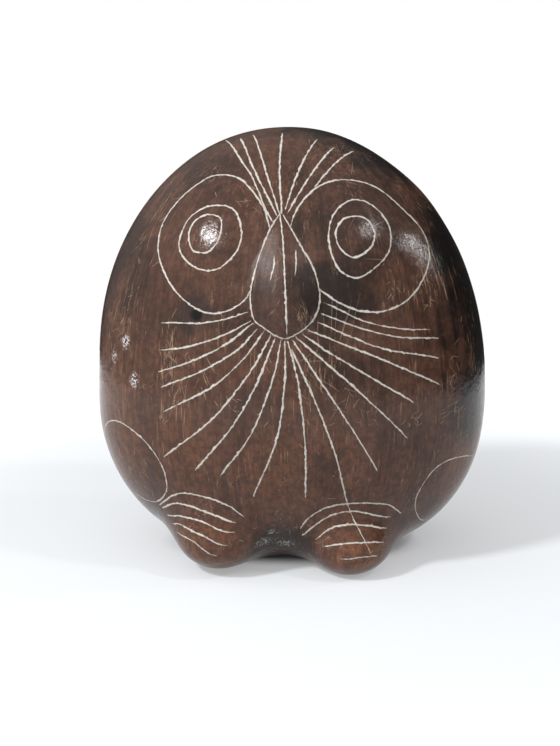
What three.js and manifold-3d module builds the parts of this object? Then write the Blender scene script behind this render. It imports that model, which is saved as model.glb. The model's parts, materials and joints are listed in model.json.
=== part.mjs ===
// A squat, egg-shaped owl figurine. One solid carved body carries the eyes, beak and feet in low
// relief, and the face, whiskers, wings and toes are drawn on it with scribed grooves, each of which
// holds its own strip of pale inlay. Millimetres, +Z up; the owl looks along -Y and rests on Z = 0.
import * as THREE from "three";
import { mergeVertices } from "three/addons/utils/BufferGeometryUtils.js";
import Module from "manifold-3d";

// ---------------------------------------------------------------- driving dimensions

// The egg: two half superellipses joined at the waist, its widest level.
const EGG = {
  waist: 61, // height of the widest level
  rise: 89, // from the waist to the crown
  drop: 66, // from the waist to where the egg would close, 5 mm under the resting plane
  halfWidth: 69.2,
  frontDepth: 50,
  backDepth: 52,
  crownPower: 2.06, // 2 is a plain ellipse, more is squarer
  basePower: 2.55,
  offsetAtFloor: 1.6, // the hand-cut egg leans a little to one side
  leanPerMm: -0.018,
  tuck: 8, // how far the belly draws back towards the base
};

// Two rounded feet grow out of the belly, the right one a little lower and further forward.
const FEET = [
  { centre: [-24, -23, 14], radii: [16.3, 21.5, 14.4] },
  { centre: [20.2, -25.4, 11], radii: [15.8, 20.1, 12.5] },
];
const FOOT_BLEND = 10; // width of the soft fillet between a foot and the belly

// Low domes under the two eyes, and the raised beak: a teardrop with its point up.
const EYE_DOMES = [
  { x: -26.5, z: 114, height: 3, radius: 16 },
  { x: 22.5, z: 114, height: 3, radius: 16 },
];
const BEAK = {
  tip: 84,
  apex: 123,
  halfWidth: 12,
  widestShare: 0.32, // how far up from the tip the beak is widest
  height: 4.8,
  ridge: 0.35, // how rounded the beak's ridge is, as a share of its half-width
  taper: 1.5, // how fast the beak flattens where it narrows
  centreAtTip: -1.3,
  centreAtApex: -2.6,
};
const RELIEF_FADE = 20; // the relief fades out over this depth behind the face

// Scribed grooves are V-shaped; the inlay is a smaller V that leaves a gap all along the groove.
const GROOVE = { halfWidth: 0.75, depth: 1.2, cutterRise: 0.6, endGap: 0.3 };
const INLAY = { halfWidth: 0.45, depth: 0.85, sunk: 0.05 };
const STEP_ALONG_LINE = 5;

const CENTRE = new THREE.Vector3(0, 0, 48); // the body is star-shaped about this point
const FAR_RADIUS = 130; // a sphere of this radius about the centre holds the whole figurine
const BODY_DETAIL = 13; // subdivisions of the icosahedron that the body starts from

const BODY_COLOUR = 0x64503f;
const INLAY_COLOUR = 0xe0dccf;

// ---------------------------------------------------------------- drawn lines

// Points on the lines are [turn, lift] in degrees seen from CENTRE: turn towards +X from straight
// ahead, and lift above the level of the centre. Left and right in the names are those of somebody
// who faces the owl. Where lines meet or cross, all but one stop short, so that no strips touch.
const OPEN_LINES = {
  brow_ray_1: [[-74, 77], [-35, 73], [-20, 68.8]],
  brow_ray_2: [[-59, 78.5], [-23, 71.5], [-11.5, 66.5]],
  brow_ray_3: [[-51, 81], [-16, 72], [-10, 67.5]],
  brow_ray_4: [[-13.5, 83.5], [-7, 72], [-4.7, 66]],
  brow_ray_5: [[33, 80.5], [5.5, 72.5], [-0.5, 66.5]],
  brow_ray_6: [[41, 77], [9.5, 70], [3.2, 67]],
  brow_ray_7: [[56.5, 75], [38, 73.8], [23, 71.5]],
  left_eye_outer_ring: [
    [-12.5, 62.7], [-21.5, 67], [-33, 69.3], [-47, 68], [-57, 60.5], [-59, 55],
    [-56, 50.5], [-50, 46], [-42, 42.5], [-32, 40.5], [-24, 42], [-18.5, 44.6],
  ],
  right_eye_outer_ring: [
    [2.8, 63.8], [6.5, 66], [13, 68], [24, 69.3], [36, 68.5], [48, 65.5], [55.5, 59.5], [60, 54.5],
    [60, 49.5], [55, 45.5], [45.5, 41.5], [36, 40.5], [27, 41.5], [19, 44.3], [15, 46.5],
  ],
  beak_outline: [
    [-6.8, 62.4], [-9.3, 60.4], [-12, 56.3], [-14, 51.4], [-15.3, 46.5], [-14.6, 42.8], [-13, 40.5],
    [-10.1, 39.2], [-6, 37.4], [-1.5, 36.6], [3.5, 38], [7.7, 40.4], [10.6, 43.3], [11.5, 46.3],
    [10.9, 49.2], [8.9, 52.9], [5.6, 56.1], [0.4, 60.5], [-1.1, 61.8],
  ],
  beak_midline: [[-4.3, 60.8], [-3.1, 57.4], [-1.9, 47.9], [-1.3, 39]],
  left_nostril_line: [[-6.5, 54.3], [-6.3, 51.9], [-7.5, 48.5]],
  right_nostril_line: [[2.4, 55.8], [2.3, 52.1], [1.8, 49.6]],
  whisker_left_1: [[-17.5, 42.2], [-24.5, 40.1], [-33.7, 37.9], [-48.5, 35.2]],
  whisker_left_2: [[-18.5, 39], [-24.3, 36.4], [-37.8, 31.3], [-48, 28.3]],
  whisker_left_3: [[-17, 38.3], [-24.1, 33.8], [-37.5, 27], [-48.5, 22.1]],
  whisker_left_4: [[-14, 37.6], [-19.4, 33], [-32.8, 25.1], [-47.4, 17.7]],
  whisker_left_5: [[-11, 37], [-17, 30.8], [-28.2, 21.2], [-46.5, 10.1]],
  whisker_left_6: [[-8.5, 35.7], [-13.8, 28], [-28.8, 9.9], [-48, -5.7]],
  whisker_left_7: [[-6.4, 34.8], [-12.8, 22.3], [-22, 7.2], [-36.8, -9.9]],
  whisker_left_8: [[-4.2, 33.2], [-5.9, 26.5], [-14.2, 6.3], [-27.4, -11.7]],
  whisker_left_9: [[-1.9, 32], [-1.8, 26.6], [-4.8, 4.9], [-15.3, -20.7]],
  whisker_right_1: [[1.2, 30.5], [2.8, 24.6], [5.6, 2.5], [6.5, -21]],
  whisker_right_2: [[4, 28.3], [6.4, 23.7], [16.4, -0.2], [22.5, -19.5]],
  whisker_right_3: [[2.2, 35.2], [11.4, 23.9], [24.8, 4.1], [33.5, -9.5]],
  whisker_right_4: [[3.8, 36.2], [18.3, 25.8], [32.6, 12.6], [43, 2]],
  whisker_right_5: [[6.2, 37.1], [16.1, 31.8], [34.8, 20.3], [44.7, 13.6]],
  whisker_right_6: [[8.5, 38.5], [24, 32.9], [41.7, 24.2], [54.7, 17]],
  whisker_right_7: [[12, 40.3], [21.9, 36.6], [35.3, 30.9], [54.7, 24.6]],
  whisker_right_8: [[13.3, 42.4], [26.6, 37.9], [40.2, 33.3], [55.5, 29.7]],
  whisker_right_9: [[14.5, 44.7], [29.1, 39], [42.8, 34.8], [52.4, 32.7]],
  left_toe_line_1: [
    [-58, -25.6], [-47.8, -20.4], [-41.7, -19.5], [-32.8, -21.2], [-25.7, -24.5], [-20.4, -28.8],
  ],
  left_toe_line_2: [[-57, -26.8], [-48.7, -23.8], [-39.7, -24.1], [-31.1, -26.5], [-23.5, -30]],
  left_toe_line_3: [[-55.4, -29.2], [-44.5, -27.3], [-34.7, -27.8], [-23.8, -32.3]],
  left_toe_line_4: [[-51.2, -30.9], [-45.2, -29.6], [-33.5, -30.9], [-25.4, -34.9]],
  left_toe_line_5: [[-47.9, -32.4], [-37.3, -32.7], [-29.1, -37.4]],
  right_toe_line_1: [
    [5.1, -37.6], [8.4, -31.9], [15.3, -26.4], [24.2, -23.9], [33.7, -23.4], [42.2, -24.3], [49, -28],
  ],
  right_toe_line_2: [[7, -40.2], [12.4, -33.9], [20.2, -28.6], [28.3, -26.9], [44, -29]],
  right_toe_line_3: [[12, -39.4], [17.4, -34.2], [24.4, -31.3], [32.5, -30.7], [42.4, -32.2]],
  right_toe_line_4: [[14.9, -39.2], [19, -36.4], [23.2, -34.6], [28, -33.7], [33, -33.7], [39.3, -34.8]],
  right_toe_line_5: [[20.5, -38.9], [27, -36.9], [31.1, -36.7], [35.6, -37.2]],
};

const CLOSED_LINES = {
  left_eye_middle_ring: [
    [-37.5, 62], [-27.5, 62.5], [-21.5, 58.5], [-22.5, 54], [-29.5, 49.7], [-38.5, 49.2],
    [-46, 52], [-46.5, 57.5], [-42.5, 60.5],
  ],
  left_eye_inner_ring: [
    [-37, 60], [-31.5, 59.7], [-30, 55.5], [-33.5, 52.5], [-39.5, 52.2], [-43.5, 55.5], [-42, 58.5],
  ],
  right_eye_middle_ring: [
    [34, 64], [41, 61.5], [44, 57], [41, 52.5], [34.5, 50], [26, 48.7], [19.5, 51], [16.5, 57],
    [19.5, 61.5], [26, 63.7],
  ],
  right_eye_inner_ring: [
    [28, 60.8], [34.5, 59.5], [36, 56], [32, 53.4], [25.5, 52.6], [20.5, 55], [20, 58.5], [24, 60.5],
  ],
  left_wing_oval: [
    [-75, 0.5], [-67, 3.2], [-60, 1.8], [-54, -2], [-49.8, -9], [-50.3, -17], [-55, -22.5],
    [-63, -25.5], [-72.5, -24], [-79.5, -18], [-81.5, -9], [-79, -3],
  ],
  right_wing_oval: [
    [62.7, -8.2], [57, -10.2], [54, -14.3], [52.8, -19.6], [54.3, -24.5], [58, -28.7], [66, -33],
    [79, -33], [88, -27.5], [90, -19.5], [84, -12.5], [73.5, -9],
  ],
};

// ---------------------------------------------------------------- the body's surface

const clamp01 = (value) => Math.min(1, Math.max(0, value));

// Joins two distances with a rounded fillet of the given size.
function smoothUnion(a, b, blend) {
  const share = clamp01(0.5 + (0.5 * (b - a)) / blend);
  return b * (1 - share) + a * share - blend * share * (1 - share);
}

// Roughly the distance from a point to the egg, negative inside.
function eggDistance(p) {
  const x = p.x - EGG.offsetAtFloor - EGG.leanPerMm * p.z;
  const y = p.y - EGG.tuck * clamp01(1 - p.z / EGG.waist) ** 2;
  const z = p.z - EGG.waist;
  const [height, power] = z > 0 ? [EGG.rise, EGG.crownPower] : [EGG.drop, EGG.basePower];
  const depth = p.y < 0 ? EGG.frontDepth : EGG.backDepth;
  const across = Math.hypot(x / EGG.halfWidth, y / depth);
  const scale = (across ** power + Math.abs(z / height) ** power) ** (1 / power);
  return Math.hypot(x, p.y, z) * (1 - 1 / scale);
}

// Roughly the distance from a point to a foot's ellipsoid, negative inside.
function footDistance(p, foot) {
  const offset = p.toArray().map((value, i) => value - foot.centre[i]);
  const scaled = Math.hypot(...offset.map((value, i) => value / foot.radii[i]));
  const gradient = Math.hypot(...offset.map((value, i) => value / foot.radii[i] ** 2));
  return (scaled * (scaled - 1)) / Math.max(gradient, 1e-9);
}

function eyeRelief(p) {
  const domes = EYE_DOMES.map((dome) => {
    const away = Math.hypot(p.x - dome.x, p.z - dome.z) / dome.radius;
    return dome.height * Math.exp(-away * away);
  });
  return domes.reduce((sum, height) => sum + height, 0);
}

// The beak's half-width at a share of its height, 0 at the tip and 1 at the apex.
function beakHalfWidth(share) {
  if (share < BEAK.widestShare)
    return BEAK.halfWidth * Math.sqrt(1 - (1 - share / BEAK.widestShare) ** 2);
  const left = (1 - share) / (1 - BEAK.widestShare);
  return BEAK.halfWidth * Math.sin((left * Math.PI) / 2);
}

function beakRelief(p) {
  const share = (p.z - BEAK.tip) / (BEAK.apex - BEAK.tip);
  if (share <= 0 || share >= 1) return 0;
  const halfWidth = beakHalfWidth(share);
  const centre = THREE.MathUtils.lerp(BEAK.centreAtTip, BEAK.centreAtApex, share);
  const across = (p.x - centre) / halfWidth;
  const drop = Math.hypot(across, BEAK.ridge) - BEAK.ridge;
  const wholeDrop = Math.hypot(1, BEAK.ridge) - BEAK.ridge;
  const fullness = (halfWidth / BEAK.halfWidth) ** BEAK.taper;
  return BEAK.height * fullness * clamp01(1 - drop / wholeDrop);
}

// Roughly the distance from a point to the finished figurine, negative inside.
function bodyDistance(p) {
  const plain = FEET.reduce(
    (distance, foot) => smoothUnion(distance, footDistance(p, foot), FOOT_BLEND),
    eggDistance(p),
  );
  return plain - clamp01(-p.y / RELIEF_FADE) * (eyeRelief(p) + beakRelief(p));
}

// Walks in from outside along a direction from the centre until it meets the surface.
function surfacePoint(direction) {
  const SMALLEST_STEP = 0.02;
  const CAUTION = 0.7; // the distance is only rough, so each step covers a part of it
  const MOST_STEPS = 400;
  const point = new THREE.Vector3();
  let radius = FAR_RADIUS;
  for (let i = 0; i < MOST_STEPS; i++) {
    point.copy(CENTRE).addScaledVector(direction, radius);
    const distance = bodyDistance(point);
    if (distance < SMALLEST_STEP) break;
    radius -= Math.max(CAUTION * distance, SMALLEST_STEP);
  }
  return point;
}

function surfaceNormal(point) {
  const REACH = 2; // wide enough to smooth over the sharp foot of the beak
  const slope = ["x", "y", "z"].map((axis) => {
    const ahead = point.clone();
    const behind = point.clone();
    ahead[axis] += REACH;
    behind[axis] -= REACH;
    return bodyDistance(ahead) - bodyDistance(behind);
  });
  return new THREE.Vector3(...slope).normalize();
}

// ---------------------------------------------------------------- drawn lines on the surface

function directionOf([turn, lift]) {
  const across = THREE.MathUtils.degToRad(turn);
  const up = THREE.MathUtils.degToRad(lift);
  return new THREE.Vector3(
    Math.sin(across) * Math.cos(up),
    -Math.cos(across) * Math.cos(up),
    Math.sin(up),
  );
}

// Even stations along a line, each with its place, the surface normal and the sideways direction.
function stationsOn(angles, closed) {
  const corners = angles.map((pair) => surfacePoint(directionOf(pair)));
  const curve = new THREE.CatmullRomCurve3(corners, closed, "centripetal");
  const spans = Math.max(3, Math.round(curve.getLength() / STEP_ALONG_LINE));
  const count = closed ? spans : spans + 1;
  return Array.from({ length: count }, (_, i) => {
    const onCurve = curve.getPointAt(i / spans);
    const point = surfacePoint(onCurve.sub(CENTRE).normalize());
    const normal = surfaceNormal(point);
    const tangent = curve.getTangentAt(i / spans);
    const side = new THREE.Vector3().crossVectors(tangent, normal).normalize();
    return { point, normal, side, tangent };
  });
}

// A triangular bar along the stations. Its corners are [sideways, outward] from each station.
function barAlong(stations, corners, closed) {
  const positions = stations.flatMap(({ point, normal, side }) =>
    corners.flatMap(([across, out]) =>
      point.clone().addScaledVector(side, across).addScaledVector(normal, out).toArray(),
    ),
  );
  const faces = [];
  const sides = corners.length;
  const spans = closed ? stations.length : stations.length - 1;
  for (let i = 0; i < spans; i++) {
    const here = i * sides;
    const next = ((i + 1) % stations.length) * sides;
    for (let j = 0; j < sides; j++) {
      const k = (j + 1) % sides;
      faces.push(here + j, next + k, here + k, here + j, next + j, next + k);
    }
  }
  if (!closed) {
    const last = (stations.length - 1) * sides;
    faces.push(0, 1, 2, last, last + 2, last + 1);
  }
  return new THREE.BufferGeometry()
    .setAttribute("position", new THREE.Float32BufferAttribute(positions, 3))
    .setIndex(faces);
}

// The same stations with the first and the last moved outwards along the line.
function withLongerEnds(stations, extra) {
  const moved = stations.map((station) => ({ ...station, point: station.point.clone() }));
  const first = moved[0];
  const last = moved[moved.length - 1];
  first.point.addScaledVector(first.tangent, -extra);
  last.point.addScaledVector(last.tangent, extra);
  return moved;
}

function grooveCutter(stations, closed) {
  const { halfWidth, depth, cutterRise, endGap } = GROOVE;
  const topHalfWidth = (halfWidth * (depth + cutterRise)) / depth;
  const corners = [[-topHalfWidth, cutterRise], [0, -depth], [topHalfWidth, cutterRise]];
  return barAlong(closed ? stations : withLongerEnds(stations, endGap), corners, closed);
}

function inlayBar(stations, closed) {
  const { halfWidth, depth, sunk } = INLAY;
  const corners = [[-halfWidth, -sunk], [0, -depth], [halfWidth, -sunk]];
  return barAlong(stations, corners, closed);
}

// ---------------------------------------------------------------- solids

const wasm = await Module();
wasm.setup();

function solidOf(geometry) {
  const bare = geometry.clone();
  bare.deleteAttribute("normal");
  bare.deleteAttribute("uv");
  const merged = mergeVertices(bare);
  const mesh = new wasm.Mesh({
    numProp: 3,
    vertProperties: merged.attributes.position.array,
    triVerts: new Uint32Array(merged.index.array),
  });
  return new wasm.Manifold(mesh);
}

function geometryOf(solid) {
  const mesh = solid.getMesh();
  return new THREE.BufferGeometry()
    .setAttribute("position", new THREE.BufferAttribute(mesh.vertProperties, 3))
    .setIndex(new THREE.BufferAttribute(mesh.triVerts, 1));
}

// The body's skin: an icosahedron's finely divided faces pushed out to the surface.
function bodySkin() {
  const skin = new THREE.IcosahedronGeometry(1, BODY_DETAIL);
  const position = skin.getAttribute("position");
  const direction = new THREE.Vector3();
  for (let i = 0; i < position.count; i++) {
    direction.fromBufferAttribute(position, i).normalize();
    const point = surfacePoint(direction);
    position.setXYZ(i, point.x, point.y, point.z);
  }
  return skin;
}

// Everything above the resting plane, so that the base and both feet are ground flat.
function aboveRestingPlane() {
  const SIZE = 400;
  return new THREE.BoxGeometry(SIZE, SIZE, SIZE).translate(0, 0, SIZE / 2);
}

function pieceMesh(name, geometry, colour, roughness) {
  const material = new THREE.MeshStandardMaterial({ color: colour, roughness, metalness: 0 });
  const mesh = new THREE.Mesh(geometry, material);
  mesh.name = name;
  return mesh;
}

const lines = [
  ...Object.entries(OPEN_LINES).map(([name, angles]) => ({ name, angles, closed: false })),
  ...Object.entries(CLOSED_LINES).map(([name, angles]) => ({ name, angles, closed: true })),
];

const figurine = new THREE.Group();
let body = solidOf(bodySkin()).intersect(solidOf(aboveRestingPlane()));
for (const { name, angles, closed } of lines) {
  const stations = stationsOn(angles, closed);
  body = body.subtract(solidOf(grooveCutter(stations, closed)));
  figurine.add(pieceMesh(name, inlayBar(stations, closed), INLAY_COLOUR, 0.9));
}
figurine.add(pieceMesh("body", geometryOf(body), BODY_COLOUR, 0.35));

// The frame's origin is the middle of the footprint of the whole figurine.
const box = new THREE.Box3().setFromObject(figurine);
figurine.position.set(-(box.min.x + box.max.x) / 2, -(box.min.y + box.max.y) / 2, 0);

export default figurine;
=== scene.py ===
"""A squat, egg-shaped owl figurine, polished and smoke-darkened, with pale filled lines scribed into it.

The body is one solid with soft relief for the eyes, beak and feet. Every scribed line is a real groove
in it, and the pale filling of each groove is a piece of its own. Lengths are in millimetres until a
mesh is made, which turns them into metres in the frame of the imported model.
"""

import json
import math

import bmesh
import bpy
import numpy as np
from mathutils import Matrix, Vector

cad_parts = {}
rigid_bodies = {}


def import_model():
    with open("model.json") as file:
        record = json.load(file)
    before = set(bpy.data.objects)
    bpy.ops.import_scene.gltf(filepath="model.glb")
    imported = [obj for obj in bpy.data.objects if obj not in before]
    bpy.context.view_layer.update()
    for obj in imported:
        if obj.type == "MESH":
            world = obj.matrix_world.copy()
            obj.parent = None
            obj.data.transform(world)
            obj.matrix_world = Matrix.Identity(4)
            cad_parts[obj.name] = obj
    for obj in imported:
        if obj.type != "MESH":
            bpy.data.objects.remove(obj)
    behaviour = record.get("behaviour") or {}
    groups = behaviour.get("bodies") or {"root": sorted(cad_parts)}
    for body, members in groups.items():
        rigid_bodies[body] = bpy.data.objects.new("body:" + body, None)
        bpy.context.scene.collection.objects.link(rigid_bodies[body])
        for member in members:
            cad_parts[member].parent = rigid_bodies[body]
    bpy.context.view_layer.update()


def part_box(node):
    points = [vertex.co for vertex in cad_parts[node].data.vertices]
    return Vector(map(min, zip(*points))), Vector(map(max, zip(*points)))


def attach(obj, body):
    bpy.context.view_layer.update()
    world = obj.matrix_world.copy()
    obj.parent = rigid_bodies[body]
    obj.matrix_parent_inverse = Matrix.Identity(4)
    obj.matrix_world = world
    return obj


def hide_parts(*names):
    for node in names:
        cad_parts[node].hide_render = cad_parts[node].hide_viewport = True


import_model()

MM_PER_METRE = 1000.0
SEED = 7

# ---------------------------------------------------------------- the body's dimensions

EGG = {
    "waist": 61.0,
    "rise": 89.0,
    "drop": 66.0,
    "half_width": 69.2,
    "front_depth": 50.0,
    "back_depth": 52.0,
    "crown_power": 2.06,
    "base_power": 2.55,
    "offset_at_floor": 1.6,
    "lean_per_mm": -0.018,
    "tuck": 8.0,
}
FEET = [
    {"centre": (-24.0, -23.0, 14.0), "radii": (16.3, 21.5, 14.4)},
    {"centre": (20.2, -25.4, 11.0), "radii": (15.8, 20.1, 12.5)},
]
FOOT_BLEND = 10.0
EYE_DOMES = [
    {"x": -26.5, "z": 114.0, "height": 3.0, "radius": 16.0},
    {"x": 22.5, "z": 114.0, "height": 3.0, "radius": 16.0},
]
BEAK = {
    "tip": 84.0,
    "apex": 123.0,
    "half_width": 12.0,
    "widest_share": 0.32,
    "height": 4.8,
    "ridge": 0.35,  # how rounded the ridge is, as a share of the half-width
    "taper": 1.5,  # how fast the relief sinks where the beak is narrower
    "centre_at_tip": -1.3,
    "centre_at_apex": -2.6,
}
BEAK_ROOF_DROP = math.hypot(1.0, BEAK["ridge"]) - BEAK["ridge"]
RELIEF_FADE = 20.0
CENTRE = np.array([0.0, 0.0, 48.0])  # the body is star-shaped about this point
FAR_RADIUS = 130.0
# Each step inwards covers this share of the distance left, because the distance is only rough.
WALK = {"share": 0.7, "steps": 70}
NORMAL_REACH = 0.5  # slopes are measured this far to each side of a point
SPHERE_SUBDIVISIONS = 7  # 82,000 faces, about 1 mm across

# The hand-worked surface is never quite true: gentle waves of many lengths and directions.
WAVES = {"count": 28, "shortest": 16.0, "longest": 60.0, "height": 0.07}

# ---------------------------------------------------------------- the scribed lines

# Points are [turn, lift] in degrees seen from CENTRE: turn towards +X from straight ahead (-Y), and
# lift above the level of the centre.
OPEN_LINES = {
    "brow_ray_1": [[-74, 76.8], [-35, 73], [-23.6, 70.2], [-12.6, 64.3], [-8, 61.7]],
    "brow_ray_2": [[-59, 78.6], [-22.8, 71.4], [-6.6, 63.2]],
    "brow_ray_3": [[-50.8, 80.8], [-15.8, 71.8], [-5.4, 63.6]],
    "brow_ray_4": [[-13.5, 83.4], [-7, 72], [-4.2, 63.6]],
    "brow_ray_5": [[33, 80.4], [5.4, 72.4], [-2.5, 64.5]],
    "brow_ray_6": [[41, 77], [9.7, 70.1], [-1.5, 63.7]],
    "brow_ray_7": [[56.4, 74.9], [28.4, 72.4], [13.9, 68.6]],
    "left_eye_outer_ring": [
        [-9.1, 60], [-13, 64.1], [-21.4, 67.4], [-33, 69.3], [-47, 68], [-53.2, 64.8],
        [-57.4, 60.5], [-59.2, 55], [-56.5, 50.5], [-50, 46], [-42, 42.5], [-32, 40.6], [-24, 42],
        [-18.2, 44.8], [-15.3, 47.4],
    ],
    "right_eye_outer_ring": [
        [0, 60.9], [2, 63.5], [6, 65.8], [13, 68.1], [24, 69.3], [36, 68.5], [48, 65.5],
        [55.7, 59.5], [60, 55.5], [61.4, 52.5], [60, 49], [55, 45.5], [45.5, 41.5], [36, 40.5],
        [27, 41.9], [19, 44.6], [11, 48.2],
    ],
    "beak_outline": [
        [-4.5, 64.1], [-9.3, 60.4], [-12, 56.3], [-14, 51.4], [-15.3, 46.5], [-14.6, 42.8],
        [-13, 40.5], [-10.1, 39.2], [-6, 37.4], [-1.5, 36.6], [3.5, 38], [7.7, 40.4],
        [10.6, 43.3], [11.5, 46.3], [10.9, 49.2], [8.9, 52.9], [5.6, 56.1], [0.4, 60.5], [-3.6, 63.5],
    ],
    "beak_midline": [[-5.3, 64.1], [-3.1, 57.4], [-1.9, 47.9], [-1.1, 36.8]],
    "left_nostril_line": [[-6.5, 54.3], [-6.3, 51.9], [-7.5, 48.5]],
    "right_nostril_line": [[2.4, 55.8], [2.3, 52.1], [1.8, 49.6]],
    "left_toe_line_1": [
        [-59.1, -26.2], [-47.8, -20.4], [-41.7, -19.5], [-32.8, -21.2], [-25.7, -24.5], [-20, -29.3],
    ],
    "left_toe_line_2": [[-57.7, -27], [-48.7, -23.8], [-39.7, -24.1], [-31.1, -26.5], [-23, -30.3]],
    "left_toe_line_3": [[-55.4, -29.2], [-44.5, -27.3], [-34.7, -27.8], [-23.1, -32.6]],
    "left_toe_line_4": [[-51.2, -30.9], [-45.2, -29.6], [-33.5, -30.9], [-25, -35.1]],
    "left_toe_line_5": [[-47.9, -32.2], [-37.3, -32.5], [-29.1, -37.4]],
    "right_toe_line_1": [
        [5.1, -37.6], [8.4, -31.9], [15.3, -26.4], [24.2, -23.9], [33.7, -23.4], [42.2, -24.3],
        [49.5, -28.2],
    ],
    "right_toe_line_2": [[6.2, -40.9], [12.4, -33.9], [20.2, -28.6], [28.3, -26.9], [44.6, -29.2]],
    "right_toe_line_3": [[12, -39.4], [17.4, -34.2], [24.4, -31.3], [32.5, -30.7], [42.4, -32.2]],
    "right_toe_line_4": [
        [14.9, -39.2], [19, -36.4], [23.2, -34.6], [28, -33.7], [33, -33.7], [39.3, -34.8],
    ],
    "right_toe_line_5": [[20.5, -38.9], [27, -36.9], [31.1, -36.7], [35.6, -37.2]],
    "whisker_left_1": [[-16, 42.7], [-24.5, 40.1], [-33.7, 37.9], [-48.7, 35.2]],
    "whisker_left_2": [[-14.8, 40.7], [-24.3, 36.4], [-37.8, 31.3], [-48, 28.3]],
    "whisker_left_3": [[-13.8, 40.3], [-24.1, 33.8], [-37.5, 27], [-48.5, 22.1]],
    "whisker_left_4": [[-12.3, 39], [-19.4, 33], [-32.8, 25.1], [-47.4, 17.7]],
    "whisker_left_5": [[-9.5, 38.7], [-17, 30.8], [-28.2, 21.2], [-46.5, 10.1]],
    "whisker_left_6": [[-7.1, 37.7], [-13.8, 28], [-28.8, 9.9], [-48, -5.7]],
    "whisker_left_7": [[-5.5, 36.9], [-12.8, 22.3], [-22, 7.2], [-36.8, -9.9]],
    "whisker_left_8": [[-3.4, 36.5], [-5.9, 26.5], [-14.2, 6.3], [-27.4, -11.7]],
    "whisker_left_9": [[-2, 36.3], [-1.8, 26.6], [-4.8, 4.9], [-15.3, -20.7]],
    "whisker_right_1": [[-0.9, 36.3], [2.8, 24.6], [5.6, 2.5], [6.5, -21]],
    "whisker_right_2": [[0.5, 34.1], [6.4, 23.7], [16.4, -0.2], [23.5, -21.5], [32.2, -36.5]],
    "whisker_right_3": [[0.7, 36.7], [11.4, 23.9], [24.8, 4.1], [33.5, -9.5]],
    "whisker_right_4": [[2, 37.3], [18.3, 25.8], [32.6, 12.6], [43, 2]],
    "whisker_right_5": [[4.5, 38], [16.1, 31.8], [34.8, 20.3], [44.7, 13.6]],
    "whisker_right_6": [[6.6, 39], [24, 32.9], [41.7, 24.2], [54.7, 17]],
    "whisker_right_7": [[10.6, 40.8], [21.9, 36.6], [35.3, 30.9], [54.7, 24.6]],
    "whisker_right_8": [[11.9, 42.8], [26.6, 37.9], [40.2, 33.3], [55.5, 29.7]],
    "whisker_right_9": [[12.9, 45.2], [29.1, 39], [42.8, 34.8], [52.4, 32.7]],
}
CLOSED_LINES = {
    "left_eye_middle_ring": [
        [-37.5, 62], [-27.5, 62.5], [-21.5, 58.5], [-22.5, 54], [-29.5, 49.7], [-38.5, 49.2],
        [-46, 52], [-46.5, 57.5], [-42.5, 60.5],
    ],
    "left_eye_inner_ring": [
        [-37, 60], [-31.5, 59.7], [-30, 55.5], [-33.5, 52.5], [-39.5, 52.2], [-43.5, 55.5], [-42, 58.5],
    ],
    "right_eye_middle_ring": [
        [34, 64], [41, 61.5], [44, 57], [41, 52.5], [34.5, 50], [26, 48.7], [19.5, 51], [16.5, 57],
        [19.5, 61.5], [26, 63.7],
    ],
    "right_eye_inner_ring": [
        [28, 60.8], [34.5, 59.5], [36, 56], [32, 53.4], [25.5, 52.6], [20.5, 55], [20, 58.5], [24, 60.5],
    ],
    "left_wing_oval": [
        [-75, 0.5], [-67, 3.2], [-60, 1.8], [-54, -2], [-49.8, -9], [-50.3, -17], [-55, -22.5],
        [-63, -25.5], [-72.5, -24], [-79.5, -18], [-81.5, -9], [-79, -3],
    ],
    "right_wing_oval": [
        [62.7, -8.2], [57, -10.2], [54, -14.3], [52.8, -19.6], [54.3, -24.5], [58, -28.7], [66, -33],
        [79, -33], [88, -27.5], [90, -19.5], [84, -12.5], [73.5, -9],
    ],
}

GROOVE = {"half_width": 0.265, "depth": 0.5, "cutter_rise": 0.35}
# The filling fits its groove this closely, lies a little below the skin, and has a hollow down its top.
FILLING = {"width": 0.97, "depth": 0.94, "sunk": 0.03, "hollow_width": 0.4, "hollow": (0.04, 0.03)}
STEP_ALONG_LINE = 0.4
POINTS_PER_SPAN = 30  # on a smooth curve, between one given point and the next
END_TAPER = 4.0  # a line starts and ends thin over this length
THINNEST = 0.35  # share of the full width right at a line's end
TAPER_POWER = 0.7  # below 1, so a line widens fastest right at its end
WIDTH_DRIFT = {"share": 0.1, "stations": 12}  # how far the width drifts, and over how many stations
RAGGEDNESS = 0.3  # how far the edges of a line wander, as a share of its half-width
# How far a chipped edge breaks out and over what length, each times a random factor.
CHIP = {"reach": 0.2, "reach_factor": (0.4, 1.4), "length": 0.36, "length_factor": (0.5, 1.3)}
CHIPS_PER_MM = 0.22
# Lines that were scribed lighter or heavier than the rest.
LINE_WEIGHT = {
    "left_wing_oval": 0.7,
    "right_wing_oval": 0.65,
    "left_eye_inner_ring": 0.9,
    "right_toe_line_5": 0.8,
    "left_toe_line_5": 0.8,
    "whisker_left_1": 0.8,
    "whisker_right_8": 0.8,
    "whisker_right_9": 0.8,
}
# Lines whose edges broke out more often.
CHIPPED_LINES = {
    "whisker_left_3": 0.3,
    "whisker_left_4": 0.35,
    "whisker_left_6": 0.35,
    "whisker_left_7": 0.45,
    "whisker_left_8": 0.3,
    "brow_ray_2": 0.4,
    "brow_ray_4": 0.4,
    "brow_ray_5": 0.45,
    "brow_ray_6": 0.45,
    "brow_ray_7": 0.45,
    "left_eye_outer_ring": 0.3,
}
# This whisker turns into a faint scratch where it crosses the toes: the share of its length where it
# begins to fade, the share over which it fades, and the share of its width that is left.
FADING_LINES = {"whisker_right_2": {"from": 0.68, "over": 0.1, "left": 0.45}}

# ---------------------------------------------------------------- scratches down to the bare material

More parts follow.
